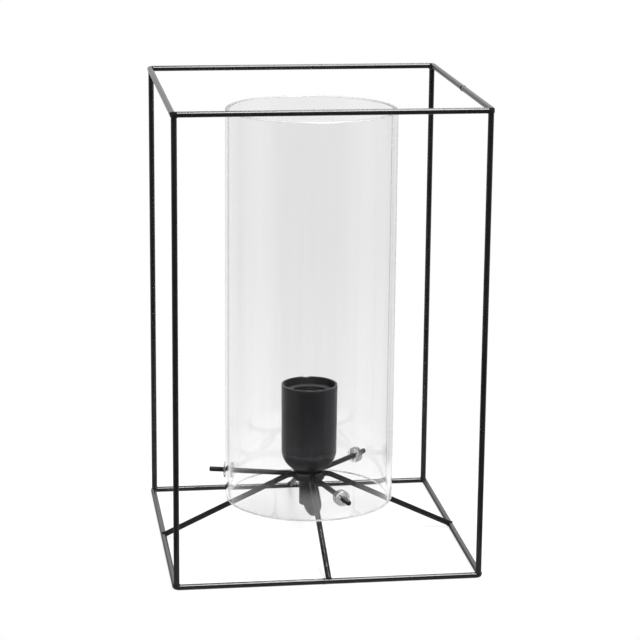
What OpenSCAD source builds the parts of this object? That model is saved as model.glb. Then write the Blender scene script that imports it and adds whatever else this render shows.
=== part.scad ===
// Table lamp: a square wire-rod frame, a clear glass cylinder and a bare lampholder.
// Millimetres. The origin is on the table, under the middle of the frame; +Z is up, the front is -Y.

/* [Wire frame] */
// Width and depth of the frame, between the centres of its rods
frame_w = 225; // [215:1:300]
// Height of the whole lamp
frame_h = 350; // [345:1:450]
// Diameter of every frame rod
rod_d = 4.2; // [3:0.1:5]
// Centreline radius of the bends at the corners of both loops
corner_r = 3.2; // [3.2:0.2:8]

/* [Struts and hub] */
// Diameter of the hub collar
hub_d = 24.4; // [22:0.2:30]
// Height of the hub collar
hub_h = 7; // [6.4:0.2:10]
// Height of the collar's underside above the table
hub_z = 44.4; // [42:0.2:60]
// Radius of the collar's rounded lower edge
hub_round = 2; // [0.5:0.25:2.25]
// Height of the rods' centre above the collar's underside
rod_rise = 4; // [3.8:0.1:4.2]
// Centreline radius of the bend by which a strut leaves the collar
strut_bend_r = 16; // [12:1:30]

/* [Glass cylinder] */
// Outer diameter of the glass cylinder
glass_d = 129; // [100:1:150]
// Wall of the glass
glass_wall = 3; // [2:0.25:5]
// Length of the glass cylinder
glass_len = 302; // [200:1:305]
// Length of glass below the centres of its three holes
glass_below = 17.2; // [12:0.2:20]

/* [Support pins] */
// Diameter of a support pin
pin_d = 4; // [3:0.25:4.5]
// Plan angle of the first pin from +X
pin_angle = 45; // [40:1:50]
// Length of a pin outside the glass
pin_out = 13; // [6:0.5:20]
// Diameter of a bush's flanges
bush_flange_d = 12; // [10:0.5:16]
// Thickness of a bush's flange
bush_flange_t = 1.6; // [1:0.1:3]
// Diameter of a bush's neck, in the hole of the glass
bush_neck_d = 8; // [6:0.25:9.5]

/* [Lampholder] */
// Outer diameter at the lampholder's rim
holder_d = 43; // [41:0.5:50]
// Height of the lampholder
holder_h = 69.4; // [68:0.2:90]
// Narrowing of the skirt's radius from its rim to the cap
holder_draft = 0.3; // [0:0.1:0.6]
// Height of the cap, up to its seam with the skirt
cap_h = 17.6; // [17:0.2:19]
// Radius of the cap's rounded bottom
cap_round = 17; // [10:0.5:17]
// Diameter of the flat foot by which the cap stands on the collar
cap_foot_d = 18; // [12:0.5:22]
// Wall of the cap and the skirt
holder_wall = 1.8; // [1.2:0.1:2.4]
// Depth of the ledge inside the mouth, below the rim
mouth_depth = 6; // [5:0.5:10]
// Thickness of that ledge
ledge_t = 2; // [1:0.25:3]
// Inner diameter of the screw shell for a medium screw base
shell_bore_d = 26.6; // [26.4:0.1:27]
// Thickness of the shell's sheet
shell_t = 0.5; // [0.3:0.1:0.8]
// Length of the screw shell
shell_len = 22; // [20:0.5:24]
// Depth of the well under the shell, where the centre contact lies
well_depth = 4.5; // [4.2:0.1:5]
// Thickness of the insert's floor under that well
insert_floor = 6.5; // [5:0.5:7.5]
// Height of the centre contact's tip above the well's floor
contact_rise = 3.9; // [3.6:0.1:4.2]
// Travel of the centre contact when a bulb is screwed in
contact_travel = 2; // [1:0.1:2.4]

/* [Cord outlet] */
// Outer diameter of the hollow threaded nipple
nipple_d = 10; // [9:0.5:11]
// Diameter of the nipple's cord hole
nipple_bore_d = 7; // [6.5:0.25:7.5]
// Diameter of the cord gland
gland_d = 14.6; // [14.4:0.2:18]
// Height of the cord gland
gland_h = 19.4; // [14:0.2:24]
// Diameter of the cord boot
boot_d = 13.8; // [12:0.2:14]
// Lean of the cord boot towards +X
boot_tilt = 11; // [8:1:20]
// Distance along the boot, from the point where it leans to its end
boot_len = 25.6; // [20:0.2:30]
// Diameter of the boot at its end
boot_tip_d = 7; // [6.6:0.2:9]
// Radius of the curve by which the boot narrows to its end
boot_nose_r = 15; // [10:1:30]
// Diameter of the hole that the cord leaves by
cord_hole_d = 5.2; // [4:0.2:5.6]

/* [Hidden] */
$fn = 96;

// Clearances
thread_gap = 0.05;    // radial, round a thread or a running pin
seat_gap = 0.05;      // between faces that seat on each other
part_gap = 0.1;       // round a loose piece in its pocket
over = 1;             // how far a cutter runs past a face

// Wire frame
rod_r = rod_d / 2;
frame_half = frame_w / 2;
straight = frame_w - 2 * corner_r;
corner_mid = frame_half - corner_r * (1 - cos(45));
saddle = rod_r / 2;   // depth of the saddle at each end of an upright

// Hub and struts
hub_r = hub_d / 2;
hub_top = hub_z + hub_h;
rod_z = hub_z + rod_rise;
foot_lift = 0.3 * rod_r;   // a strut meets its rod just above the rod's centre
// A strut starts level at the collar's face and its straight run is the tangent from its bend to its foot
foot_dx = frame_half - hub_r;
foot_dz = rod_r + foot_lift - rod_z + strut_bend_r;
foot_reach = sqrt(foot_dx * foot_dx + foot_dz * foot_dz);
strut_slope = 90 - atan2(foot_dz, foot_dx) - acos(strut_bend_r / foot_reach);
strut_run = sqrt(foot_reach * foot_reach - strut_bend_r * strut_bend_r) - rod_r / 2;
strut_root_turn = asin(1.5 / strut_bend_r);   // what the bend runs on into the collar before it is cut

// Glass
glass_r = glass_d / 2;
glass_in_r = glass_r - glass_wall;
glass_z = rod_z - glass_below;

// Support pins
pin_r = pin_d / 2;
pin_hole_r = pin_r + thread_gap;
pin_relief_r = pin_r + 0.15;     // hollow that a neighbouring strut leaves for a pin
pin_root = nipple_d / 2 + 1.5;
pin_tip = glass_r + pin_out;
pin_chamfer = 0.4;
PIN_ANGLES = [for (i = [0:2]) pin_angle + 120 * i];
bush_neck_r = bush_neck_d / 2;
bush_flange_r = bush_flange_d / 2;
bush_hole_r = bush_neck_r + part_gap;
bush_sag = glass_in_r - sqrt(glass_in_r * glass_in_r - bush_flange_r * bush_flange_r);
bush_inner_x = glass_in_r - bush_sag - bush_flange_t;
bush_outer_x = glass_r + bush_flange_t;

// Lampholder, from the collar's top face upwards
holder_r = holder_d / 2;
cap_r = holder_r - holder_draft;
seam_z = hub_top + cap_h;
rim_z = hub_top + holder_h;
ledge_z = rim_z - mouth_depth;
skirt_bore_r = cap_r - holder_wall;
spigot_r = skirt_bore_r - thread_gap;
spigot_h = 5;
insert_r = skirt_bore_r - part_gap;
insert_z = seam_z + spigot_h + seat_gap;
insert_top = ledge_z - ledge_t - seat_gap;
shell_in_r = shell_bore_d / 2;
shell_r = shell_in_r + shell_t;
shell_pocket_r = shell_r + part_gap;
shell_top = insert_top - part_gap;
shelf_z = shell_top - shell_len - seat_gap;   // the shelf that the shell's flange stands on
well_z = shelf_z - well_depth;
floor_z = well_z - insert_floor;
ledge_hole_r = shell_in_r + 1.4;
cap_floor = 3;
cap_boss_r = nipple_d / 2 + 2.4;
cap_boss_h = 8;
cap_foot_h = 1;
insert_wall = 2;

// Contacts and terminals inside the insert
contact_t = 0.5;
contact_w = 5;
contact_leg_x = -6;
contact_tip_z = well_z + contact_rise;
contact_button_r = 2;
contact_button_h = 0.6;
tongue_reach = 3.5;
tongue_top = contact_tip_z - contact_button_h;
contact_foot_z = floor_z + contact_travel + 0.6;
shell_lip = 4;        // width of the flange at the shell's foot
well_r = shell_in_r - shell_lip;
tab_x = shell_in_r - shell_lip / 2;
tab_t = 0.8;
tab_w = 3;
plate_t = 1;
plate_w = 7;
plate_in = 8.2;
screw_x = 14;
screw_shank_r = 1.5;
screw_head_r = 2.6;
screw_head_h = 1.8;
screw_shank_h = insert_floor - 1;

// Cord outlet
nipple_r = nipple_d / 2;
nipple_in_r = nipple_bore_d / 2;
gland_r = gland_d / 2;
gland_z = hub_z - gland_h;
boot_r = boot_d / 2;
boot_pivot_z = hub_z - 3.9;
boot_set_back = 3;    // the boot starts this far below its pivot
boot_tip_r = boot_tip_d / 2;
boot_narrows = boot_nose_r - boot_r + boot_tip_r;
boot_nose_len = sqrt(boot_nose_r * boot_nose_r - boot_narrows * boot_narrows);
boot_shank_len = boot_len - boot_set_back - boot_nose_len;
nipple_grip = 4.2;    // length of nipple inside the gland
nipple_z = hub_z - nipple_grip;
nipple_top = hub_top + cap_boss_h;

// A round bar from x0 to x1 along X
module bar_x(x0, x1, r) {
  translate([x0, 0, 0]) rotate([0, 90, 0]) cylinder(r = r, h = x1 - x0);
}

// A round bar with chamfered ends, from x0 to x1 along X
module chamfered_bar_x(x0, x1, r, c) {
  translate([x0, 0, 0]) rotate([0, 90, 0]) rotate_extrude()
    polygon([[0, 0], [r - c, 0], [r, c], [r, x1 - x0 - c], [r - c, x1 - x0], [0, x1 - x0]]);
}

// A ring from r_in to r_out
module ring(r_in, r_out, h) {
  rotate_extrude() translate([r_in, 0]) square([r_out - r_in, h]);
}

// One bend of a loop, with its centre at the corner_r inset from the corner
module loop_corner() {
  translate([frame_half - corner_r, frame_half - corner_r, 0])
    rotate_extrude(angle = 90) translate([corner_r, 0]) circle(r = rod_r);
}

// One straight rod of a loop, on the +X side
module loop_side() {
  translate([frame_half, straight / 2, 0]) rotate([90, 0, 0]) cylinder(r = rod_r, h = straight);
}

// A loop bent from one rod, centred on height z
module loop(z) {
  translate([0, 0, z]) for (turn = [0:90:270]) rotate([0, 0, turn]) {
    loop_side();
    loop_corner();
  }
}

module base_loop() {
  color("#1c1c1e") loop(rod_r);
}

module top_loop() {
  color("#1c1c1e") loop(frame_h - rod_r);
}

// An upright in the corner that lies at the given turn from +X +Y
module upright(turn) {
  color("#1c1c1e") rotate([0, 0, turn]) difference() {
    translate([corner_mid, corner_mid, rod_d - saddle])
      cylinder(r = rod_r, h = frame_h - 2 * (rod_d - saddle));
    translate([0, 0, rod_r]) loop_corner();
    translate([0, 0, frame_h - rod_r]) loop_corner();
  }
}

module upright_back_right() {
  upright(0);
}

module upright_back_left() {
  upright(90);
}

module upright_front_left() {
  upright(180);
}

module upright_front_right() {
  upright(270);
}

// A strut: one bend out of the collar, then straight down to the base loop
module strut(turn) {
  color("#1c1c1e") rotate([0, 0, turn]) difference() {
    translate([hub_r, 0, rod_z - strut_bend_r]) rotate([90, 0, 0]) rotate([0, 0, 90 - strut_slope]) union() {
      rotate_extrude(angle = strut_slope + strut_root_turn) translate([strut_bend_r, 0]) circle(r = rod_r);
      translate([strut_bend_r, 0, 0]) rotate([90, 0, 0]) cylinder(r = rod_r, h = strut_run);
    }
    cylinder(r = hub_r, h = hub_top + over);
    translate([frame_half, rod_d, rod_r]) rotate([90, 0, 0]) cylinder(r = rod_r, h = 2 * rod_d);
    for (a = PIN_ANGLES) rotate([0, 0, a - turn]) translate([0, 0, rod_z])
      bar_x(hub_r - over, hub_r + rod_d + pin_d, pin_relief_r);
  }
}

module strut_right() {
  strut(0);
}

module strut_back() {
  strut(90);
}

module strut_left() {
  strut(180);
}

module strut_front() {
  strut(270);
}

// The collar that every rod runs to, drilled for the nipple and the three pins
module hub_collar() {
  color("#1c1c1e") difference() {
    translate([0, 0, hub_z]) rotate_extrude() union() {
      translate([0, hub_round]) square([hub_r, hub_h - hub_round]);
      square([hub_r - hub_round, hub_round]);
      translate([hub_r - hub_round, hub_round]) circle(r = hub_round);
    }
    translate([0, 0, hub_z - over]) cylinder(r = nipple_r + part_gap, h = hub_h + 2 * over);
    for (a = PIN_ANGLES) rotate([0, 0, a]) translate([0, 0, rod_z]) bar_x(0, hub_r + over, pin_hole_r);
  }
}

// The glass, open at both ends, with a hole for each bush
module glass_cylinder() {
  color("#dfe8ea", 0.35) difference() {
    translate([0, 0, glass_z]) cylinder(r = glass_r, h = glass_len);
    translate([0, 0, glass_z - over]) cylinder(r = glass_in_r, h = glass_len + 2 * over);
    for (a = PIN_ANGLES) rotate([0, 0, a]) translate([0, 0, rod_z])
      bar_x(glass_in_r - 2 * over, glass_r + over, bush_hole_r);
  }
}

// A flanged bush that sits in one hole of the glass, its flanges curved to the wall
module bush(turn) {
  color("#e9ecec", 0.6) rotate([0, 0, turn]) translate([0, 0, rod_z]) difference() {
    union() {
      difference() {
        bar_x(glass_r - over, bush_outer_x, bush_flange_r);
        translate([0, 0, -bush_flange_d]) cylinder(r = glass_r + seat_gap, h = 2 * bush_flange_d);
      }
      intersection() {
        bar_x(bush_inner_x, glass_in_r, bush_flange_r);
        translate([0, 0, -bush_flange_d]) cylinder(r = glass_in_r - seat_gap, h = 2 * bush_flange_d);
      }
      bar_x(bush_inner_x, bush_outer_x, bush_neck_r);
    }
    bar_x(bush_inner_x - over, bush_outer_x + over, pin_hole_r);
  }
}

module bush_back_right() {
  bush(PIN_ANGLES[0]);
}

module bush_left() {
  bush(PIN_ANGLES[1]);
}

module bush_front_right() {
  bush(PIN_ANGLES[2]);
}

// A pin that screws into the collar from outside, through its bush
module support_pin(turn) {
  color("#161617") rotate([0, 0, turn]) translate([0, 0, rod_z])
    chamfered_bar_x(pin_root, pin_tip, pin_r, pin_chamfer);
}

module support_pin_back_right() {
  support_pin(PIN_ANGLES[0]);
}

module support_pin_left() {
  support_pin(PIN_ANGLES[1]);
}

module support_pin_front_right() {
  support_pin(PIN_ANGLES[2]);
}

// Half section of a bowl with a rounded bottom edge
module round_bottom(r, h, round_r) {
  union() {
    translate([0, round_r]) square([r, h - round_r]);
    square([r - round_r, round_r]);
    intersection() {
      translate([r - round_r, round_r]) circle(r = round_r);
      square([r, round_r]);
    }
  }
}

// The lower shell of the lampholder, with the threaded boss and the spigot that carries the skirt
module lampholder_cap() {
  color("#26262a") difference() {
    union() {
      difference() {
        translate([0, 0, hub_top]) rotate_extrude() union() {
          round_bottom(cap_r, cap_h, cap_round);
          square([cap_foot_d / 2, cap_foot_h]);
        }
        translate([0, 0, hub_top + cap_floor]) rotate_extrude()
          round_bottom(spigot_r - holder_wall, cap_h, cap_round - cap_floor);
      }
      translate([0, 0, hub_top + cap_floor - over]) cylinder(r = cap_boss_r, h = cap_boss_h + over - cap_floor);
      translate([0, 0, seam_z - over]) ring(spigot_r - holder_wall, spigot_r, spigot_h + over);
    }
    translate([0, 0, hub_top - over]) cylinder(r = nipple_r + thread_gap, h = cap_boss_h + 2 * over);
  }
}

// The upper shell, with the ledge inside its mouth
module lampholder_skirt() {
  color("#26262a") rotate_extrude() difference() {
    polygon([[0, seam_z + seat_gap], [cap_r, seam_z + seat_gap], [holder_r, rim_z], [0, rim_z]]);
    translate([0, seam_z]) square([skirt_bore_r, ledge_z - ledge_t - seam_z]);
    translate([0, seam_z]) square([ledge_hole_r, rim_z]);
    translate([0, ledge_z]) square([skirt_bore_r, mouth_depth + over]);
  }
}

// The insulating insert that holds the shell and the contacts
module lampholder_insert() {
  color("#d9d6cc") difference() {
    translate([0, 0, insert_z]) cylinder(r = insert_r, h = insert_top - insert_z);
    translate([0, 0, shelf_z]) cylinder(r = shell_pocket_r, h = insert_top - shelf_z + over);
    translate([0, 0, well_z]) cylinder(r = well_r, h = well_depth + over);
    translate([0, 0, insert_z - over]) cylinder(r = insert_r - insert_wall, h = floor_z - insert_z + over);
    slot(contact_leg_x, contact_t, contact_w);
    slot(tab_x, tab_t, tab_w);
    for (x = [-screw_x, screw_x]) translate([x, 0, floor_z - over])
      cylinder(r = screw_shank_r + thread_gap, h = over + screw_shank_h + part_gap);
  }
}

// A slot through the insert's floor, round a strip of thickness t and width w at x
module slot(x, t, w) {
  translate([x - t / 2 - part_gap, -w / 2 - part_gap, floor_z - over])
    cube([t + 2 * part_gap, w + 2 * part_gap, shelf_z - floor_z + 2 * over]);
}

// The shell that the bulb screws into, with a flange round its foot
module screw_shell() {
  color("#c9b27a") translate([0, 0, shelf_z + seat_gap]) rotate_extrude() union() {
    translate([shell_in_r, 0]) square([shell_t, shell_len]);
    translate([shell_in_r - shell_lip, 0]) square([shell_lip + shell_t, shell_t]);
  }
}

// The sprung tongue that presses on the bulb's tip
module centre_contact() {
  color("#c9a24a") union() {
    translate([contact_leg_x - contact_t / 2, -contact_w / 2, contact_foot_z])
      cube([contact_t, contact_w, tongue_top - contact_foot_z]);
    translate([contact_leg_x, -contact_w / 2, tongue_top - contact_t])
      cube([tongue_reach - contact_leg_x, contact_w, contact_t]);
    translate([0, 0, tongue_top - contact_t]) rotate_extrude()
      polygon([[0, 0], [contact_button_r, 0], [contact_button_r, contact_t],
        [contact_button_r / 2, contact_t + contact_button_h], [0, contact_t + contact_button_h]]);
  }
}

// A terminal plate under the insert's floor, on the side given by the sign
module terminal_plate(side) {
  plate_len = screw_x + screw_head_r - plate_in - part_gap;
  x0 = side > 0 ? plate_in : -plate_in - plate_len;
  difference() {
    translate([x0, -plate_w / 2, floor_z - seat_gap - plate_t]) cube([plate_len, plate_w, plate_t]);
    translate([side * screw_x, 0, floor_z - over - plate_t])
      cylinder(r = screw_shank_r + part_gap, h = plate_t + 2 * over);
  }
}

// The terminal of the shell, with the tab that reaches the shell's flange
module shell_terminal() {
  color("#c9a24a") union() {
    terminal_plate(1);
    translate([tab_x - tab_t / 2, -tab_w / 2, floor_z - seat_gap - plate_t])
      cube([tab_t, tab_w, plate_t + seat_gap + shelf_z - floor_z]);
  }
}

module contact_terminal() {
  color("#c9a24a") terminal_plate(-1);
}

// The two cheese-head terminal screws
module terminal_screws() {
  head_z = floor_z - 2 * seat_gap - plate_t;
  color("#b9bcc0") for (x = [-screw_x, screw_x]) translate([x, 0, head_z]) difference() {
    union() {
      cylinder(r = screw_shank_r, h = plate_t + 2 * seat_gap + screw_shank_h);
      translate([0, 0, -screw_head_h]) cylinder(r = screw_head_r, h = screw_head_h);
    }
    translate([-screw_head_r, -0.4, -screw_head_h - over]) cube([screw_head_r * 2, 0.8, over + 0.9]);
  }
}

// The hollow nipple that clamps the lampholder, the collar and the gland together
module threaded_nipple() {
  color("#b8a26a") translate([0, 0, nipple_z]) ring(nipple_in_r, nipple_r, nipple_top - nipple_z);
}

// The boot's frame: its axis leans towards +X from the pivot, and its length runs down along -Z
module along_boot() {
  translate([0, 0, boot_pivot_z]) rotate([0, -boot_tilt, 0]) mirror([0, 0, 1]) children();
}

// The gland on the nipple's lower end, cut open where the boot leans out of it
module cord_gland() {
  color("#202022") difference() {
    translate([0, 0, gland_z]) cylinder(r = gland_r, h = gland_h - seat_gap);
    translate([0, 0, nipple_z - part_gap]) cylinder(r = nipple_r + thread_gap, h = nipple_grip + over);
    translate([0, 0, gland_z]) cylinder(r = nipple_in_r, h = gland_h);
    along_boot() translate([0, 0, boot_set_back - seat_gap]) cylinder(r = boot_r + thread_gap, h = 2 * boot_len);
  }
}

// The boot that guards the cord where it leaves
module cord_boot() {
  color("#26262a") along_boot() translate([0, 0, boot_set_back]) difference() {
    rotate_extrude() union() {
      square([boot_r, boot_shank_len]);
      translate([0, boot_shank_len]) intersection() {
        translate([boot_r - boot_nose_r, 0]) circle(r = boot_nose_r);
        square([boot_r, boot_nose_len]);
      }
    }
    translate([0, 0, -over]) cylinder(r = cord_hole_d / 2, h = boot_len + 2 * over);
  }
}

base_loop();
top_loop();
upright_front_left();
upright_front_right();
upright_back_left();
upright_back_right();
strut_front();
strut_right();
strut_back();
strut_left();
hub_collar();
glass_cylinder();
bush_back_right();
bush_left();
bush_front_right();
support_pin_back_right();
support_pin_left();
support_pin_front_right();
lampholder_cap();
lampholder_skirt();
lampholder_insert();
screw_shell();
centre_contact();
shell_terminal();
contact_terminal();
terminal_screws();
threaded_nipple();
cord_gland();
cord_boot();
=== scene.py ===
import math

import bmesh
import bpy
from mathutils import Matrix, Vector, noise


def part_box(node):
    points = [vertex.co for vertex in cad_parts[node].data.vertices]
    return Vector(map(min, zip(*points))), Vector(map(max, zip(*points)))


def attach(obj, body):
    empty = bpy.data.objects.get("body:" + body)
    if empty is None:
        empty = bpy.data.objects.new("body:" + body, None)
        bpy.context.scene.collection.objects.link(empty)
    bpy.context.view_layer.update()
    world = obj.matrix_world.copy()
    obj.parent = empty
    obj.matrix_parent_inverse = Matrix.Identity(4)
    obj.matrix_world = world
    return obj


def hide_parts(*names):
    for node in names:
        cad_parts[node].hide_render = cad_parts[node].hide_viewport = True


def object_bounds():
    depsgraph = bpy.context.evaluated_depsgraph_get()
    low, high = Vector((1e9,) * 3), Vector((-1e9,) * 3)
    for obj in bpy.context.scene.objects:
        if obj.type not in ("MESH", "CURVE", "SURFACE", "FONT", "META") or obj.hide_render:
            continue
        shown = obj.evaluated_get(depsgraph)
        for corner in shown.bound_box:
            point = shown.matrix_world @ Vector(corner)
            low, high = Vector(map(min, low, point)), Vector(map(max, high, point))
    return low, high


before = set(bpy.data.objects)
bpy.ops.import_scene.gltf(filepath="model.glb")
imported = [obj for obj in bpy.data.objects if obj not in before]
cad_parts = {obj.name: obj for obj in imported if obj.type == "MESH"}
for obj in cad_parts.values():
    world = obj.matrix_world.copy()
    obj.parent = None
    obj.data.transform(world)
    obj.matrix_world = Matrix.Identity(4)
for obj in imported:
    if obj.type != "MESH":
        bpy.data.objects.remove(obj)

MM = 0.001
TAU = 2 * math.pi
CAD_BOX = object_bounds()
LAMP = "lamp"


# ---------------------------------------------------------------- camera

CAMERA_TARGET = Vector((0.00765, 0.0, 0.1705))
CAMERA_AZIMUTH = math.radians(-8.20)
CAMERA_ELEVATION = math.radians(14.28)
CAMERA_ROLL = math.radians(0.56)
CAMERA_DISTANCE = 1.7602
CAMERA_LENS = 130.17
CAMERA_SENSOR = 36.0
CAMERA_CLIP_END = 20.0


def make_camera():
    """A long lens to the left of the front and a little above, level to half a degree."""
    back = Vector((
        math.sin(CAMERA_AZIMUTH) * math.cos(CAMERA_ELEVATION),
        -math.cos(CAMERA_AZIMUTH) * math.cos(CAMERA_ELEVATION),
        math.sin(CAMERA_ELEVATION),
    ))
    right = (-back).cross(Vector((0, 0, 1))).normalized()
    up = right.cross(-back)
    side = right * math.cos(CAMERA_ROLL) + up * math.sin(CAMERA_ROLL)
    top = up * math.cos(CAMERA_ROLL) - right * math.sin(CAMERA_ROLL)
    data = bpy.data.cameras.new("camera")
    data.lens = CAMERA_LENS
    data.sensor_width = CAMERA_SENSOR
    data.clip_end = CAMERA_CLIP_END
    camera = bpy.data.objects.new("camera", data)
    turn = Matrix((side, top, back)).transposed().to_4x4()
    camera.matrix_world = Matrix.Translation(CAMERA_TARGET + back * CAMERA_DISTANCE) @ turn
    bpy.context.scene.collection.objects.link(camera)
    bpy.context.scene.camera = camera


# ---------------------------------------------------------------- node trees

RAMP_START, RAMP_STOP = 0.3, 0.7


class Nodes:
    """A short way to write a node tree."""

    def __init__(self, tree):
        self.tree = tree
        tree.nodes.clear()

    def add(self, kind, **values):
        """A new node; a value whose name starts with in_ goes to the input of that name."""
        node = self.tree.nodes.new(kind)
        for key, value in values.items():
            if key.startswith("in_"):
                node.inputs[key[3:].replace("_", " ")].default_value = value
            else:
                setattr(node, key, value)
        return node

    def link(self, output, socket):
        self.tree.links.new(output, socket)


def new_material(name):
    material = bpy.data.materials.new(name)
    material.use_nodes = True
    return material, Nodes(material.node_tree)


def object_noise(n, scale, detail=2.0, stretch=(1, 1, 1)):
    """Noise in the object's own space, at so many waves a metre."""
    where = n.add("ShaderNodeTexCoord")
    mapping = n.add("ShaderNodeMapping")
    mapping.inputs["Scale"].default_value = stretch
    texture = n.add("ShaderNodeTexNoise", in_Scale=scale, in_Detail=detail)
    n.link(where.outputs["Object"], mapping.inputs["Vector"])
    n.link(mapping.outputs["Vector"], texture.inputs["Vector"])
    return texture.outputs["Fac"]


def ramp(n, source, low, high):
    """The middle of the source's range mapped onto low..high, as numbers or colours."""
    node = n.add("ShaderNodeValToRGB")
    colours = [(v, v, v, 1) if isinstance(v, (int, float)) else (*v, 1) for v in (low, high)]
    for element, place, colour in zip(node.color_ramp.elements, (RAMP_START, RAMP_STOP), colours):
        element.position = place
        element.color = colour
    n.link(source, node.inputs["Fac"])
    return node.outputs["Color"]


def finish_surface(n, shader, height, depth):
    """Bump of the given depth, and the output."""
    bump = n.add("ShaderNodeBump", in_Strength=1.0, in_Distance=depth)
    n.link(height, bump.inputs["Height"])
    n.link(bump.outputs["Normal"], shader.inputs["Normal"])
    output = n.add("ShaderNodeOutputMaterial")
    n.link(shader.outputs["BSDF"], output.inputs["Surface"])


# ---------------------------------------------------------------- materials

# Patches, streaks and waves are so many a metre.
BLACK_IOR = 1.5
BLACK_PATCHES = 60
TARNISH_PATCHES = 250
MARK_DEPTH = 0.01 * MM
GLASS_IOR = 1.5
GLASS_STREAKS, STREAK_STRETCH = 260, (1, 1, 0.03)
GLASS_DARK, GLASS_LIGHT = (0.967, 0.966, 0.968), (0.986, 0.985, 0.987)
GLASS_WAVES, WAVE_STRETCH = 60, (1, 1, 0.06)
WAVE_DEPTH = 0.02 * MM
SILICONE_IOR = 1.41


def black_finish(name, dark, light, rough, grain_mm, depth_mm):
    """Powder coat or moulded plastic: uneven in colour and gloss, with a fine grain."""
    material, n = new_material(name)
    shader = n.add("ShaderNodeBsdfPrincipled", in_Metallic=0.0, in_IOR=BLACK_IOR)
    patches = object_noise(n, BLACK_PATCHES, detail=3.0)
    n.link(ramp(n, patches, dark, light), shader.inputs["Base Color"])
    n.link(ramp(n, patches, *rough), shader.inputs["Roughness"])
    finish_surface(n, shader, object_noise(n, 1000 / grain_mm), depth_mm * MM)
    return material


def bare_metal(name, tarnished, clean, rough, grain_mm):
    """Metal with tarnish in patches and fine marks from its making."""
    material, n = new_material(name)
    shader = n.add("ShaderNodeBsdfPrincipled", in_Metallic=1.0)
    patches = object_noise(n, TARNISH_PATCHES, detail=4.0)
    n.link(ramp(n, patches, tarnished, clean), shader.inputs["Base Color"])
    marks = object_noise(n, 1000 / grain_mm)
    n.link(ramp(n, marks, *rough), shader.inputs["Roughness"])
    finish_surface(n, shader, marks, MARK_DEPTH)
    return material


def clear_glass():
    """Drawn glass: nearly colourless, with faint streaks and waves down its length."""
    material, n = new_material("clear_glass")
    shader = n.add("ShaderNodeBsdfPrincipled", in_Roughness=0.0, in_IOR=GLASS_IOR)
    streaks = object_noise(n, GLASS_STREAKS, 3.0, STREAK_STRETCH)
    n.link(ramp(n, streaks, GLASS_DARK, GLASS_LIGHT), shader.inputs["Base Color"])
    shader.inputs["Transmission Weight"].default_value = 1.0
    waves = object_noise(n, GLASS_WAVES, 1.0, WAVE_STRETCH)
    finish_surface(n, shader, waves, WAVE_DEPTH)
    return material


def cloudy_clear(name, ior, clouds, dark, light, rough, transmission, depth_mm):
    """A clear stuff with an uneven skin, for the soft rubber and for the glass's edges: frosted
    where drilled, and painted light on the rims.
    """
    material, n = new_material(name)
    shader = n.add("ShaderNodeBsdfPrincipled", in_IOR=ior)
    cloud = object_noise(n, clouds)
    n.link(ramp(n, cloud, dark, light), shader.inputs["Base Color"])
    n.link(ramp(n, cloud, *rough), shader.inputs["Roughness"])
    shader.inputs["Transmission Weight"].default_value = transmission
    finish_surface(n, shader, cloud, depth_mm * MM)
    return material


def make_materials():
    """Every finish of the lamp. Colours are linear, and rough is the range of the roughness."""
    return {
        "coat": black_finish(
            "black_powder_coat", dark=(0.009, 0.009, 0.010), light=(0.014, 0.0135, 0.0135),
            rough=(0.11, 0.15), grain_mm=1.1, depth_mm=0.0005),
        "pin": black_finish(
            "black_pin_finish", dark=(0.007, 0.007, 0.0075), light=(0.012, 0.0115, 0.011),
            rough=(0.32, 0.46), grain_mm=0.5, depth_mm=0.01),
        "holder": black_finish(
            "moulded_black", dark=(0.011, 0.011, 0.0135), light=(0.016, 0.0155, 0.018),
            rough=(0.27, 0.35), grain_mm=0.6, depth_mm=0.006),
        # Painted shade: the insert and the inside of the skirt are painted near black, darker
        # than the holder's own plastic, for the shade inside the lampholder's mouth.
        "insert": black_finish(
            "insert_moulding_painted_shade", dark=(0.005, 0.005, 0.0055), light=(0.008, 0.008, 0.0075),
            rough=(0.5, 0.65), grain_mm=0.8, depth_mm=0.015),
        "outlet": black_finish(
            "outlet_moulding", dark=(0.012, 0.012, 0.0135), light=(0.017, 0.017, 0.018),
            rough=(0.36, 0.48), grain_mm=0.7, depth_mm=0.008),
        "glass": clear_glass(),
        # On the drilled hole walls this skin is the frosting of the drilling; on the
        # fire-polished rims its pale tone is painted light.
        "rim": cloudy_clear(
            "glass_edges_painted_light", GLASS_IOR, clouds=400, dark=(0.65, 0.65, 0.67),
            light=(0.73, 0.73, 0.75), rough=(0.08, 0.2), transmission=0.5, depth_mm=0.01),
        "silicone": cloudy_clear(
            "clear_silicone", SILICONE_IOR, clouds=300, dark=(0.92, 0.935, 0.93),
            light=(0.97, 0.975, 0.97), rough=(0.05, 0.14), transmission=0.92, depth_mm=0.03),
        # Painted shade: the shell's metal is painted far darker than bare metal, for the shade
        # inside the lampholder; its patches vary at random as tarnish.
        "shell": bare_metal(
            "shell_metal", tarnished=(0.13, 0.125, 0.115), clean=(0.20, 0.195, 0.185),
            rough=(0.38, 0.55), grain_mm=0.4),
        "brass": bare_metal(
            "terminal_brass", tarnished=(0.55, 0.38, 0.16), clean=(0.78, 0.58, 0.27),
            rough=(0.2, 0.42), grain_mm=0.5),
        "steel": bare_metal(
            "screw_steel", tarnished=(0.5, 0.5, 0.5), clean=(0.68, 0.68, 0.69),
            rough=(0.2, 0.38), grain_mm=0.4),
    }


# ---------------------------------------------------------------- mesh helpers

SMOOTH_DEGREES = 38
SAME_POINT = 1e-7
ON_AXIS = 1e-9


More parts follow.
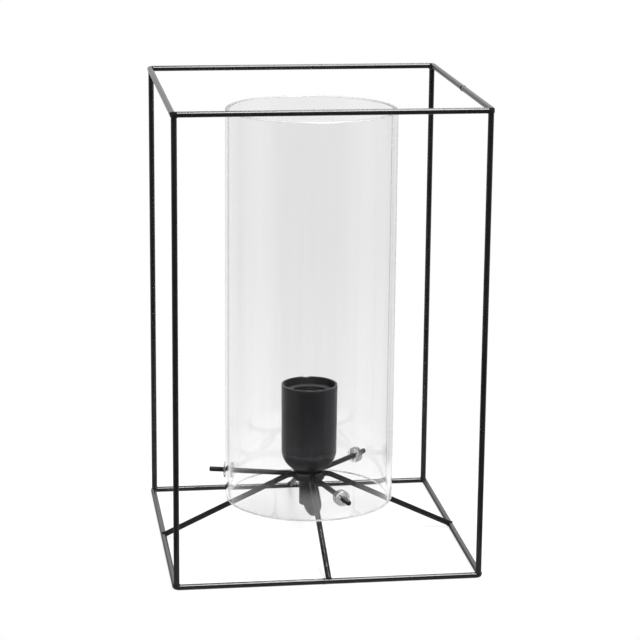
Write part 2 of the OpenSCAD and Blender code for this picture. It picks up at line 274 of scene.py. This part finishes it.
def new_object(name, bm, finish, body=LAMP, replaces=(), smooth_degrees=SMOOTH_DEGREES):
    """A finished piece from a bmesh: outward normals, shading, material and its body."""
    bmesh.ops.remove_doubles(bm, verts=bm.verts, dist=SAME_POINT)
    bmesh.ops.recalc_face_normals(bm, faces=bm.faces)
    mesh = bpy.data.meshes.new(name)
    bm.to_mesh(mesh)
    bm.free()
    mesh.materials.append(MATERIALS[finish])
    piece = bpy.data.objects.new(name, mesh)
    bpy.context.scene.collection.objects.link(piece)
    for polygon in mesh.polygons:
        polygon.use_smooth = True
    mesh.set_sharp_from_angle(angle=math.radians(smooth_degrees))
    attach(piece, body)
    if replaces:
        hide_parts(*replaces)
    return piece


def turned(radius, angle, height):
    """The point at a radius and an angle round Z."""
    return Vector((radius * math.cos(angle), radius * math.sin(angle), height))


def circle(bm, radius, height, sides):
    """A ring of new points round Z."""
    return [bm.verts.new(turned(radius, TAU * k / sides, height)) for k in range(sides)]


def join_rings(bm, a, b):
    """Faces between two rings of points. A ring may be a single point, on the axis."""
    steps = max(len(a), len(b))
    if steps == 1:
        return
    for i in range(steps):
        j = (i + 1) % steps
        quad = [a[i % len(a)], a[j % len(a)], b[j % len(b)], b[i % len(b)]]
        bm.faces.new([v for k, v in enumerate(quad) if v not in quad[:k]])


def lathe(bm, profile, sides, place=Matrix.Identity(4), shape=None):
    """Turns a closed profile of (radius, height) round Z. shape may move each point."""
    rings = []
    for r, h in profile:
        ring = []
        for i in range(1 if r < ON_AXIS else sides):
            angle = TAU * i / sides
            point = turned(r, angle, h)
            ring.append(bm.verts.new(place @ (shape(point, angle) if shape else point)))
        rings.append(ring)
    for a, b in zip(rings, rings[1:] + rings[:1]):
        join_rings(bm, a, b)


def arc(cr, ch, radius, start, stop, steps):
    """Points of a profile's round stretch, with angles in degrees."""
    turn = [math.radians(start + (stop - start) * i / steps) for i in range(steps + 1)]
    return [(cr + radius * math.cos(a), ch + radius * math.sin(a)) for a in turn]


def sweep_ring(bm, path, radii, sides):
    """A tube along a closed path, with one radius for each of its points."""
    rings = []
    first = None
    for i, (point, radius) in enumerate(zip(path, radii)):
        along = (path[(i + 1) % len(path)] - path[i - 1]).normalized()
        if first is None:
            first = along.orthogonal().normalized()
        else:
            first = (first - along * first.dot(along)).normalized()
        second = along.cross(first)
        turns = [TAU * k / sides for k in range(sides)]
        rings.append([
            bm.verts.new(point + (first * math.cos(t) + second * math.sin(t)) * radius)
            for t in turns
        ])
    for a, b in zip(rings, rings[1:] + rings[:1]):
        join_rings(bm, a, b)


def along_axis(origin, direction):
    """A frame at origin whose +Z runs along direction."""
    turn = Vector(direction).to_track_quat("Z", "Y").to_matrix().to_4x4()
    return Matrix.Translation(origin) @ turn


# ---------------------------------------------------------------- sizes from the frame

def low(node, axis):
    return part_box(node)[0][axis]


def high(node, axis):
    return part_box(node)[1][axis]


ROD_R = high("base_loop", 2) / 2
FRAME_HALF = high("base_loop", 0) - ROD_R
FRAME_TOP = high("top_loop", 2) - ROD_R
ROD_Z = (low("support_pin_left", 2) + high("support_pin_left", 2)) / 2
HUB_R = high("hub_collar", 0)
GLASS_R = high("glass_cylinder", 0)
GLASS_LOW = low("glass_cylinder", 2)
GLASS_TOP = high("glass_cylinder", 2)
PIN_R = (high("support_pin_left", 2) - low("support_pin_left", 2)) / 2
PIN_TURNS = {
    "back_right": math.radians(45),
    "left": math.radians(165),
    "front_right": math.radians(285),
}

# No node's box tells these; they are as in the solids.
GLASS_WALL = 3 * MM
CORNER_R = 3.2 * MM
STRUT_BEND_R = 16 * MM
STRUT_FOOT_Z = ROD_R * 1.3


# ---------------------------------------------------------------- glass

RIM_ROUND = 1.1 * MM
RIM_STEPS = 6
GLASS_SIDES = 256
BUSH_HOLE_R = 4.1 * MM
HOLE_SIDES = 48
DRILL_START = 3 * MM
DRILL_LENGTH = 12 * MM
FACES_STRAIGHT = 0.9


def make_glass():
    """The cylinder with fire-polished rims and its three holes."""
    inner = GLASS_R - GLASS_WALL
    c = RIM_ROUND
    profile = arc(inner + c, GLASS_TOP - c, c, 180, 90, RIM_STEPS)
    profile += arc(GLASS_R - c, GLASS_TOP - c, c, 90, 0, RIM_STEPS)
    profile += arc(GLASS_R - c, GLASS_LOW + c, c, 0, -90, RIM_STEPS)
    profile += arc(inner + c, GLASS_LOW + c, c, -90, -180, RIM_STEPS)
    bm = bmesh.new()
    lathe(bm, profile, GLASS_SIDES)
    piece = new_object("glass_tube", bm, "glass", LAMP, ("glass_cylinder",))
    drill_holes(piece)
    piece.data.materials.append(MATERIALS["rim"])
    set_glass_normals(piece.data)
    piece.visible_shadow = False


def drill_holes(piece):
    """Cuts a round hole for each bush through the wall."""
    cutters = bmesh.new()
    hole = [(0, 0), (BUSH_HOLE_R, 0), (BUSH_HOLE_R, DRILL_LENGTH), (0, DRILL_LENGTH)]
    for turn in PIN_TURNS.values():
        out = turned(1, turn, 0)
        start = Vector((0, 0, ROD_Z)) + out * (GLASS_R - GLASS_WALL - DRILL_START)
        lathe(cutters, hole, HOLE_SIDES, along_axis(start, out))
    bmesh.ops.recalc_face_normals(cutters, faces=cutters.faces)
    mesh = bpy.data.meshes.new("cutters")
    cutters.to_mesh(mesh)
    cutters.free()
    cutter = bpy.data.objects.new("cutters", mesh)
    bpy.context.scene.collection.objects.link(cutter)
    cut = piece.modifiers.new("holes", "BOOLEAN")
    cut.operation = "DIFFERENCE"
    cut.solver = "EXACT"
    cut.object = cutter
    bpy.context.view_layer.update()
    evaluated = piece.evaluated_get(bpy.context.evaluated_depsgraph_get())
    drilled = bpy.data.meshes.new_from_object(evaluated)
    piece.modifiers.clear()
    piece.data = drilled
    bpy.data.objects.remove(cutter)


def set_glass_normals(mesh):
    """True normals at every corner, so that the wall refracts as a round tube does.

    The walls keep the first material, and the rims and holes get the second, whose pale skin is
    painted light on the rims.
    """
    inner_bend = GLASS_R - GLASS_WALL + RIM_ROUND
    outer_bend = GLASS_R - RIM_ROUND
    normals = []
    for polygon in mesh.polygons:
        polygon.use_smooth = True
        centre = polygon.center
        outward = Vector((centre.x, centre.y, 0)).normalized()
        reach = math.hypot(centre.x, centre.y)
        on_top = centre.z > ROD_Z
        bend_z = GLASS_TOP - RIM_ROUND if on_top else GLASS_LOW + RIM_ROUND
        past_bend = centre.z > bend_z if on_top else centre.z < bend_z
        bend_r = inner_bend if reach < (inner_bend + outer_bend) / 2 else outer_bend
        on_wall = not past_bend and abs(polygon.normal.dot(outward)) > FACES_STRAIGHT
        polygon.material_index = 0 if on_wall else 1
        for loop in polygon.loop_indices:
            point = mesh.vertices[mesh.loops[loop].vertex_index].co
            radial = Vector((point.x, point.y, 0)).normalized()
            facing = polygon.normal.dot(radial)
            if past_bend and inner_bend < reach < outer_bend:
                normal = Vector((0, 0, 1 if on_top else -1))
            elif past_bend:
                normal = radial * (math.hypot(point.x, point.y) - bend_r)
                normal += Vector((0, 0, point.z - bend_z))
            elif abs(facing) > FACES_STRAIGHT:
                normal = radial * facing
            else:
                normal = polygon.normal
            normals.append(normal.normalized())
    mesh.normals_split_custom_set(normals)


# ---------------------------------------------------------------- bushes

BUSH_NECK_R = 4.0 * MM
BUSH_FLANGE_R = 6.0 * MM
BUSH_FLANGE_T = 1.6 * MM
BUSH_EDGE_R = 0.55 * MM
BUSH_EDGE_STEPS, BUSH_BACK_STEPS = 5, 3
BUSH_BORE_CHAMFER = 0.2 * MM
BUSH_SIDES = 64
SEAT_GAP = 0.05 * MM


def make_bush(name, turn):
    """A soft spool in one hole, its flanges bent to the wall of the glass."""
    middle = GLASS_R - GLASS_WALL / 2
    half = GLASS_WALL / 2 + SEAT_GAP
    outer = half + BUSH_FLANGE_T
    edge = BUSH_EDGE_R
    back_edge = edge * 0.5
    hole = PIN_R + SEAT_GAP
    chamfer = BUSH_BORE_CHAMFER
    profile = [(hole, -outer + chamfer), (hole + chamfer, -outer)]
    front_r, back_r = BUSH_FLANGE_R - edge, BUSH_FLANGE_R - back_edge
    profile += arc(front_r, -outer + edge, edge, -90, 0, BUSH_EDGE_STEPS)
    profile += arc(back_r, -half - back_edge, back_edge, 0, 90, BUSH_BACK_STEPS)
    profile += [(BUSH_NECK_R, -half), (BUSH_NECK_R, half)]
    profile += arc(back_r, half + back_edge, back_edge, -90, 0, BUSH_BACK_STEPS)
    profile += arc(front_r, outer - edge, edge, 0, 90, BUSH_EDGE_STEPS)
    profile += [(hole + chamfer, outer), (hole, outer - chamfer)]
    out = turned(1, turn, 0)
    across = Vector((-out.y, out.x, 0))
    bm = bmesh.new()
    lathe(bm, profile, BUSH_SIDES, along_axis(Vector((0, 0, ROD_Z)) + out * middle, out))
    for vert in bm.verts:
        aside = vert.co.dot(across)
        vert.co -= out * (middle - math.sqrt(middle * middle - aside * aside))
    new_object("bush_" + name + "_moulding", bm, "silicone", LAMP, ("bush_" + name,))


# ---------------------------------------------------------------- pins

PIN_ROOT = 6.5 * MM
PIN_OUTSIDE = 13 * MM
PIN_CHAMFER = 0.45 * MM
INNER_THREAD = 7 * MM
OUTER_THREAD = 11 * MM
THREAD_PITCH = 0.7 * MM
THREAD_DEPTH = 0.26 * MM
THREAD_CREST_R = PIN_R - 0.02 * MM
THREAD_SHARPNESS = 1.3
THREAD_SIDES = 32
THREAD_STEPS = 10
SHANK_STRIDE = 20
PIN_SMOOTH_DEGREES = 60


def make_pin(name, turn):
    """A stud with a rolled thread at both ends and a plain shank between."""
    out = turned(1, turn, 0)
    length = GLASS_R + PIN_OUTSIDE - PIN_ROOT
    place = along_axis(Vector((0, 0, ROD_Z)) + out * PIN_ROOT, out)
    count = round(length / (THREAD_PITCH / THREAD_STEPS))
    bm = bmesh.new()
    rings = []
    for i in range(count + 1):
        x = length * i / count
        threaded = x < INNER_THREAD or x > length - OUTER_THREAD
        if not threaded and i % SHANK_STRIDE:
            continue
        limit = PIN_R - max(0.0, PIN_CHAMFER - min(x, length - x))
        ring = []
        for k in range(THREAD_SIDES):
            r = THREAD_CREST_R
            if threaded:
                phase = (x / THREAD_PITCH - k / THREAD_SIDES) % 1.0
                r -= THREAD_DEPTH * (0.5 + 0.5 * math.cos(TAU * phase)) ** THREAD_SHARPNESS
            point = turned(min(r, limit), TAU * k / THREAD_SIDES, x)
            ring.append(bm.verts.new(place @ point))
        rings.append(ring)
    for a, b in zip(rings, rings[1:]):
        join_rings(bm, a, b)
    bm.faces.new(list(reversed(rings[0])))
    bm.faces.new(rings[-1])
    new_object("pin_" + name + "_stud", bm, "pin", "pin_" + name,
               ("support_pin_" + name,), PIN_SMOOTH_DEGREES)


# ---------------------------------------------------------------- welds

WELD_R = 0.55 * MM
WELD_UNEVEN = 0.35
WELD_RIPPLES = 900
WELD_SIDES = 8
WELD_STEPS = 28
WELD_TURNS = [TAU * i / WELD_STEPS for i in range(WELD_STEPS)]
SADDLE_LIMIT = 0.85 * ROD_R
BUTT_WELD_R = 0.38 * MM
LOW_JOINT_X = -3.6 * MM
HIGH_JOINT_Y = -8 * MM


def weld(name, path, radius=WELD_R):
    """A bead along a joint, uneven as a hand-made weld is, and flush with the frame's outside."""
    radii = [radius * (1 + WELD_UNEVEN * noise.noise(p * WELD_RIPPLES)) for p in path]
    bm = bmesh.new()
    sweep_ring(bm, path, radii, WELD_SIDES)
    for vert in bm.verts:
        vert.co = [min(max(c, least), most) for c, least, most in zip(vert.co, *CAD_BOX)]
    new_object(name, bm, "coat")


def corner_weld_path(turn, top):
    """Where an upright's saddle sits on the bend of a loop, in the corner at the given turn."""
    centre = FRAME_HALF - CORNER_R
    middle = FRAME_HALF - CORNER_R * (1 - math.sqrt(0.5))
    z_loop = FRAME_TOP if top else ROD_R
    sign = -1 if top else 1
    path = []
    for a in WELD_TURNS:
        x = middle + ROD_R * math.cos(a)
        y = middle + ROD_R * math.sin(a)
        off = min(abs(math.hypot(x - centre, y - centre) - CORNER_R), SADDLE_LIMIT)
        z = z_loop + sign * math.sqrt(ROD_R * ROD_R - off * off)
        path.append(Matrix.Rotation(turn, 3, "Z") @ Vector((x, y, z)))
    return path


def hub_weld_path(turn):
    """Where a strut meets the collar."""
    path = []
    for a in WELD_TURNS:
        y = ROD_R * math.cos(a)
        point = Vector((math.sqrt(HUB_R * HUB_R - y * y), y, ROD_Z + ROD_R * math.sin(a)))
        path.append(Matrix.Rotation(turn, 3, "Z") @ point)
    return path


def foot_weld_path(turn, slope):
    """Where a strut meets the base rod, over the top and down both sides of the strut."""
    down = Vector((math.cos(slope), 0, -math.sin(slope)))
    normal = Vector((math.sin(slope), 0, math.cos(slope)))
    path = []
    for a in WELD_TURNS:
        y = ROD_R * math.cos(a)
        start = Vector((FRAME_HALF, y, STRUT_FOOT_Z)) + normal * ROD_R * math.sin(a)
        dx, dz = start.x - FRAME_HALF, start.z - ROD_R
        b = dx * down.x + dz * down.z
        c = dx * dx + dz * dz - ROD_R * ROD_R
        reach = -b - math.sqrt(max(b * b - c, 0.0))
        path.append(Matrix.Rotation(turn, 3, "Z") @ (start + down * reach))
    return path


def butt_weld_path(middle, along):
    """A ring round a loop's rod, where its two ends meet."""
    side = along.cross(Vector((0, 0, 1)))
    return [
        middle + (side * math.cos(a) + Vector((0, 0, math.sin(a)))) * ROD_R
        for a in WELD_TURNS
    ]


def strut_slope():
    """The angle at which a strut runs down from its one bend to the base rod."""
    across = FRAME_HALF - HUB_R
    down = STRUT_FOOT_Z - ROD_Z + STRUT_BEND_R
    reach = math.hypot(across, down)
    return math.pi / 2 - math.atan2(down, across) - math.acos(STRUT_BEND_R / reach)


def make_welds():
    slope = strut_slope()
    for i, side in enumerate(("right", "back", "left", "front")):
        turn = i * math.pi / 2
        weld("weld_foot_" + side, foot_weld_path(turn, slope))
        weld("weld_hub_" + side, hub_weld_path(turn))
    for i, corner in enumerate(("back_right", "back_left", "front_left", "front_right")):
        turn = i * math.pi / 2
        weld("weld_low_" + corner, corner_weld_path(turn, False))
        weld("weld_high_" + corner, corner_weld_path(turn, True))
    low_joint = Vector((LOW_JOINT_X, -FRAME_HALF, ROD_R))
    weld("weld_low_joint", butt_weld_path(low_joint, Vector((1, 0, 0))), BUTT_WELD_R)
    high_joint = Vector((FRAME_HALF, HIGH_JOINT_Y, FRAME_TOP))
    weld("weld_high_joint", butt_weld_path(high_joint, Vector((0, 1, 0))), BUTT_WELD_R)


# ---------------------------------------------------------------- lampholder

SKIRT_SIDES = 240
SKIRT_STEPS = 8
SKIRT_TAPER = 0.3 * MM
SKIRT_WALL = 1.8 * MM
SEAM_CHAMFER = 0.15 * MM
LIP_R = 0.5 * MM
INNER_LIP_R = 0.4 * MM
INNER_LIP_AT = 0.9 * MM
LIP_STEPS, INNER_LIP_STEPS = 5, 4
MOUTH_FLARE = 0.1 * MM
MOUTH_DEPTH = 2 * MM
LEDGE_DEPTH = 6 * MM
LEDGE_T = 2 * MM
LEDGE_FILLET = 0.4 * MM
LEDGE_HOLE_R = 14.7 * MM
LEDGE_HOLE_CHAMFER = 0.3 * MM
INSIDE_MARGIN = 0.4 * MM
NOTCH_TURN = math.radians(89)
NOTCH_HALF = 2.8 * MM
NOTCH_DEPTH = 0.7 * MM
NOTCH_SQUARENESS = 4


def make_skirt():
    """The lampholder's upper half: a rolled rim with a notch, and an inside with a ledge, painted
    darker than the outside as painted shade.
    """
    z0 = low("lampholder_skirt", 2)
    rim = high("lampholder_skirt", 2)
    r_rim = high("lampholder_skirt", 0)
    r_seam = r_rim - SKIRT_TAPER
    bore = r_seam - SKIRT_WALL
    ledge = rim - LEDGE_DEPTH
    hole = LEDGE_HOLE_R
    side_height = rim - z0 - LIP_R
    profile = [(bore, z0), (r_seam - SEAM_CHAMFER, z0), (r_seam, z0 + SEAM_CHAMFER)]
    profile += [
        (r_seam + (r_rim - r_seam) * t / SKIRT_STEPS, z0 + side_height * t / SKIRT_STEPS)
        for t in range(1, SKIRT_STEPS)
    ]
    profile += arc(r_rim - LIP_R, rim - LIP_R, LIP_R, 0, 90, LIP_STEPS)
    profile += arc(bore + INNER_LIP_AT, rim - INNER_LIP_R, INNER_LIP_R, 90, 180,
                   INNER_LIP_STEPS)
    profile += [(bore + MOUTH_FLARE, rim - MOUTH_DEPTH), (bore, ledge + LEDGE_FILLET),
                (bore - LEDGE_FILLET, ledge), (hole + LEDGE_HOLE_CHAMFER, ledge),
                (hole, ledge - LEDGE_HOLE_CHAMFER), (hole, ledge - LEDGE_T),
                (bore, ledge - LEDGE_T)]

    def notched(point, angle):
        away = abs((angle - NOTCH_TURN + math.pi) % TAU - math.pi) / (NOTCH_HALF / r_rim)
        point.z = min(point.z, rim - NOTCH_DEPTH * max(0.0, 1 - away ** NOTCH_SQUARENESS))
        return point

    bm = bmesh.new()
    lathe(bm, profile, SKIRT_SIDES, shape=notched)
    piece = new_object("lampholder_skirt_moulding", bm, "holder", LAMP, ("lampholder_skirt",))
    # The skirt's inside faces take the darker insert finish: painted shade inside the mouth.
    piece.data.materials.append(MATERIALS["insert"])
    for polygon in piece.data.polygons:
        if math.hypot(polygon.center.x, polygon.center.y) < bore + INSIDE_MARGIN:
            polygon.material_index = 1


SHELL_PITCH = 3.63 * MM
SHELL_THREAD_DEPTH = 0.72 * MM
SHELL_SHEET = 0.5 * MM
SHELL_FLANGE = 4 * MM
SHELL_TOP_DROP = 1.4 * MM
SHELL_SIDES, SHELL_ROWS = 96, 120
SHELL_RUN_OUT = 8


def make_screw_shell():
    """The pressed shell: a rolled medium-base thread in sheet metal, with a flange at its foot.

    It ends below its solid's rim, because no metal shows at the lampholder's mouth.
    """
    z0 = low("screw_shell", 2)
    foot = z0 + SHELL_SHEET
    top = high("screw_shell", 2) - SHELL_TOP_DROP
    outer = high("screw_shell", 0)
    flange = outer - SHELL_SHEET - SHELL_FLANGE
    bm = bmesh.new()
    skins = []
    for inward in (0.0, SHELL_SHEET):
        skin = []
        for i in range(SHELL_ROWS + 1):
            z = foot + (top - z0 - SHELL_SHEET) * i / SHELL_ROWS
            depth = SHELL_THREAD_DEPTH * min(1.0, min(i, SHELL_ROWS - i) / SHELL_RUN_OUT)
            ring = []
            for k in range(SHELL_SIDES):
                wave = 0.5 - 0.5 * math.cos(TAU * (z / SHELL_PITCH - k / SHELL_SIDES))
                point = turned(outer - inward - depth * wave, TAU * k / SHELL_SIDES, z)
                ring.append(bm.verts.new(point))
            skin.append(ring)
        skins.append(skin)
    foot_rings = [circle(bm, outer, z0, SHELL_SIDES), circle(bm, flange, z0, SHELL_SIDES),
                  circle(bm, flange, foot, SHELL_SIDES)]
    chain = list(reversed(skins[0])) + foot_rings + skins[1]
    for a, b in zip(chain, chain[1:] + chain[:1]):
        join_rings(bm, a, b)
    new_object("screw_shell_thread", bm, "shell", LAMP, ("screw_shell",))


# ---------------------------------------------------------------- dressing the carried nodes

CARRIED = {
    "coat": ["base_loop", "top_loop", "hub_collar"]
    + ["upright_" + c for c in ("front_left", "front_right", "back_left", "back_right")]
    + ["strut_" + s for s in ("front", "right", "back", "left")],
    "holder": ["lampholder_cap"],
    "insert": ["lampholder_insert"],
    "brass": ["centre_contact", "shell_terminal", "contact_terminal", "threaded_nipple"],
    "steel": ["terminal_screws"],
    "outlet": ["cord_gland", "cord_boot"],
}


def dress():
    """Every CAD node that stays gets its material."""
    for finish, names in CARRIED.items():
        for name in names:
            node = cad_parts[name]
            node.data.materials.clear()
            node.data.materials.append(MATERIALS[finish])


# ---------------------------------------------------------------- stage and light

# Distances from the lamp's middle are in metres, and levels are shares of plain white.
TABLE_SIZE = 6.0
TABLE_COLOUR = (0.92, 0.92, 0.92, 1)
TABLE_LIFT = 0.14
TABLE_END = 0.22
TABLE_END_SOFT = 0.02
SHADOW_FADES = (0.08, 0.30)
SHADOW_COVER = 0.75
# Painted shadow: through the glass the table is darker under the lamp, down to this level.
UNDER_GLASS, UNDER_GLASS_SHADE_LEVEL = (0.08, 0.17), 0.66
FAR_TABLE, FAR_TABLE_LEVEL = (0.15, 1.1), 0.92
FRONT_TABLE, FRONT_TABLE_LEVEL = (0.08, 0.13), 1.65
LENGTHWAYS = (0.4, 1.0)
SIDE_FALL, UNREFLECTED_SHARE = 0.40, 0.4
DARK_STUDIO_LEVEL = 0.06
MIRRORED_TABLE_LEVEL = 0.35
MIRRORED_DARK_LEVEL = 0.02
BEHIND, BEHIND_LEVELS = (-0.2, 0.6), (0.30, 0.55)

# The dark part of the studio, in front of the lamp, as turns from the front.
FRONT_LEFT = math.radians(-56)
FRONT_RIGHT = math.radians(54)
SHARP = math.radians(4)
SOFT = math.radians(30)

# Heights are those of a direction, from 0 at the horizon to 1 overhead.
WALL_TURNS = (math.radians(18), math.radians(30))
WALL_RISES, WALL_LEVELS = (0.15, 0.40), (0.6, 1.3)
WALL_FALLS, ABOVE_WALL_LEVEL = (0.55, 0.80), 0.1
ROOM_LEVEL = 0.10
THROUGH_LENGTHWAYS_LEVELS = (0.77, 0.92)
THROUGH_FALLS, THROUGH_HIGH_LEVEL = (0.35, 0.60), 0.14
AMBIENT_LEVEL = 0.20

LIGHT_AIM = (0.0, 0.0, 0.2)


def math_node(n, operation, *values):
    """One arithmetic node; each value is a number or a socket."""
    node = n.add("ShaderNodeMath", operation=operation)
    for socket, value in zip(node.inputs, values):
        if isinstance(value, (int, float)):
            socket.default_value = value
        else:
            n.link(value, socket)
    return node.outputs["Value"]


def times(n, first, second):
    return math_node(n, "MULTIPLY", first, second)


def step(n, value, start, stop, before=0.0, after=1.0):
    """A smooth change from one number to another as value goes from start to stop."""
    node = n.add("ShaderNodeMapRange", interpolation_type="SMOOTHSTEP")
    names = ("From Min", "From Max", "To Min", "To Max")
    for name, number in zip(names, (start, stop, before, after)):
        node.inputs[name].default_value = number
    n.link(value, node.inputs["Value"])
    return node.outputs["Result"]


def glow(n, strength, kind="ShaderNodeEmission"):
    """Plain white light of a strength that is a number or a socket."""
    node = n.add(kind)
    node.inputs["Color"].default_value = (1, 1, 1, 1)
    if isinstance(strength, (int, float)):
        node.inputs["Strength"].default_value = strength
    else:
        n.link(strength, node.inputs["Strength"])
    return node.outputs[0]


def mix(n, share, first, second):
    """The first shader where share is 0, and the second where it is 1."""
    node = n.add("ShaderNodeMixShader")
    n.link(share, node.inputs["Fac"])
    n.link(first, node.inputs[1])
    n.link(second, node.inputs[2])
    return node.outputs["Shader"]


def by_ray(n, path, other, seen, through, mirrored):
    """What each ray finds: the camera's own, those through glass, reflections and the rest."""
    surface = mix(n, path.outputs["Is Camera Ray"], other, seen)
    surface = mix(n, path.outputs["Is Transmission Ray"], surface, through)
    surface = mix(n, path.outputs["Is Glossy Ray"], surface, mirrored)
    return mix(n, path.outputs["Is Singular Ray"], surface, through)


def facing_front(n, split, soft):
    """1 where a place lies in the dark part of the studio, in front of the lamp."""
    turn = math_node(n, "ARCTAN2", split.outputs["X"], times(n, split.outputs["Y"], -1.0))
    left = step(n, turn, FRONT_LEFT - soft, FRONT_LEFT + soft)
    right = step(n, turn, FRONT_RIGHT - soft, FRONT_RIGHT + soft, 1.0, 0.0)
    return times(n, left, right)


def level_through_glass(n, path, split, reach, past_end):
    """How bright the table is through the glass, or in a reflection off or inside the glass.

    Past its end the table is a little darker at the sides than behind the lamp. Only a
    reflection sees the dark studio in front, beyond a table that is lighter there.
    """
    reflected = math_node(n, "GREATER_THAN", path.outputs["Glossy Depth"], 0.5)
    lengthways = math_node(n, "DIVIDE", split.outputs["Y"], reach)
    flip = step(n, reflected, 0.0, 1.0, -1.0, 1.0)
    lengthways = math_node(n, "MAXIMUM", lengthways, times(n, lengthways, flip))
    fall = times(n, step(n, lengthways, *LENGTHWAYS, SIDE_FALL, 0.0),
                 step(n, reflected, 0.0, 1.0, UNREFLECTED_SHARE, 1.0))
    aside = math_node(n, "SUBTRACT", 1.0, fall)
    front = times(n, facing_front(n, split, SOFT), reflected)
    around = times(n, aside, step(n, front, 0.0, 1.0, 1.0, DARK_STUDIO_LEVEL))
    near = step(n, times(n, front, step(n, reach, *FRONT_TABLE)),
                0.0, 1.0, 1.0, FRONT_TABLE_LEVEL)
    level = math_node(n, "ADD", times(n, past_end, around),
                      times(n, math_node(n, "SUBTRACT", 1.0, past_end), near))
    far = times(n, step(n, reach, *FAR_TABLE, 1.0, FAR_TABLE_LEVEL), level)
    # Painted shadow: near the lamp's foot the table seen through the glass is darker.
    return times(n, step(n, reach, *UNDER_GLASS, UNDER_GLASS_SHADE_LEVEL, 1.0), far)


def level_mirrored(n, split, past_end):
    """How bright the table is past its end, in a reflection off a rod."""
    behind = step(n, split.outputs["Y"], *BEHIND, *BEHIND_LEVELS)
    dark = times(n, facing_front(n, split, SHARP), past_end)
    return times(n, behind, step(n, dark, 0.0, 1.0, 1.0, MIRRORED_DARK_LEVEL))


def table_material():
    """White, with the lamp's soft shadow; reflections see its end and the studio beyond."""
    material, n = new_material("white_table")
    path = n.add("ShaderNodeLightPath")
    where = n.add("ShaderNodeNewGeometry")
    split = n.add("ShaderNodeSeparateXYZ")
    n.link(where.outputs["Position"], split.inputs["Vector"])
    length = n.add("ShaderNodeVectorMath", operation="LENGTH")
    n.link(where.outputs["Position"], length.inputs[0])
    reach = length.outputs["Value"]
    diffuse = n.add("ShaderNodeBsdfDiffuse")
    diffuse.inputs["Color"].default_value = TABLE_COLOUR
    lit = n.add("ShaderNodeAddShader")
    n.link(diffuse.outputs["BSDF"], lit.inputs[0])
    n.link(glow(n, TABLE_LIFT), lit.inputs[1])
    past_end = step(n, reach, TABLE_END - TABLE_END_SOFT, TABLE_END + TABLE_END_SOFT)
    cover = step(n, reach, *SHADOW_FADES, SHADOW_COVER, 1.0)
    seen = mix(n, cover, lit.outputs["Shader"], glow(n, 1.0))
    backdrop = level_through_glass(n, path, split, reach, past_end)
    through = mix(n, cover, lit.outputs["Shader"], glow(n, backdrop))
    mirrored = mix(n, past_end, glow(n, MIRRORED_TABLE_LEVEL),
                   glow(n, level_mirrored(n, split, past_end)))
    output = n.add("ShaderNodeOutputMaterial")
    n.link(by_ray(n, path, diffuse.outputs["BSDF"], seen, through, mirrored),
           output.inputs["Surface"])
    return material


def make_floor():
    bm = bmesh.new()
    bmesh.ops.create_grid(bm, x_segments=1, y_segments=1, size=TABLE_SIZE)
    mesh = bpy.data.meshes.new("floor")
    bm.to_mesh(mesh)
    bm.free()
    floor = bpy.data.objects.new("floor", mesh)
    bpy.context.scene.collection.objects.link(floor)
    mesh.materials.append(table_material())


def make_world():
    """White to the camera. Reflections see a white wall in a dark room, and the glass shows
    white low down and a dark room overhead.
    """
    world = bpy.data.worlds.new("studio")
    world.use_nodes = True
    bpy.context.scene.world = world
    n = Nodes(world.node_tree)
    path = n.add("ShaderNodeLightPath")
    where = n.add("ShaderNodeTexCoord")
    split = n.add("ShaderNodeSeparateXYZ")
    n.link(where.outputs["Generated"], split.inputs["Vector"])
    height = split.outputs["Z"]
    turn = math_node(n, "ARCTAN2", split.outputs["X"], split.outputs["Y"])
    wall = step(n, math_node(n, "ABSOLUTE", turn), *WALL_TURNS, 1.0, 0.0)
    wall_level = times(n, step(n, height, *WALL_RISES, *WALL_LEVELS),
                       step(n, height, *WALL_FALLS, 1.0, ABOVE_WALL_LEVEL))
    brightest = WALL_LEVELS[1]
    mirrored = step(n, times(n, wall, wall_level), 0.0, brightest, ROOM_LEVEL, brightest)
    lengthways = step(n, math_node(n, "ABSOLUTE", split.outputs["Y"]), *LENGTHWAYS,
                      *THROUGH_LENGTHWAYS_LEVELS)
    through = times(n, step(n, height, *THROUGH_FALLS, 1.0, THROUGH_HIGH_LEVEL), lengthways)
    levels = (AMBIENT_LEVEL, 1.0, through, mirrored)
    output = n.add("ShaderNodeOutputWorld")
    n.link(by_ray(n, path, *(glow(n, level, "ShaderNodeBackground") for level in levels)),
           output.inputs["Surface"])


def softbox(name, place, size, power):
    """A soft lamp of so many watts, aimed at the lampholder."""
    data = bpy.data.lights.new(name, "AREA")
    data.shape = "RECTANGLE"
    data.size, data.size_y = size
    data.energy = power
    lamp = bpy.data.objects.new(name, data)
    lamp.location = place
    aim = Vector(LIGHT_AIM) - Vector(place)
    lamp.rotation_euler = aim.to_track_quat("-Z", "Y").to_euler()
    bpy.context.scene.collection.objects.link(lamp)


def make_light():
    softbox("front_box", place=(0.24, -0.68, 1.7), size=(0.7, 0.9), power=40)
    softbox("back_box", place=(0.26, 0.53, 1.75), size=(0.40, 0.40), power=9)


# ---------------------------------------------------------------- build

bpy.context.scene.view_settings.view_transform = "Standard"
make_camera()
MATERIALS = make_materials()
dress()
make_glass()
for pin_name, pin_turn in PIN_TURNS.items():
    make_bush(pin_name, pin_turn)
    make_pin(pin_name, pin_turn)
make_welds()
make_skirt()
make_screw_shell()
make_floor()
make_world()
make_light()
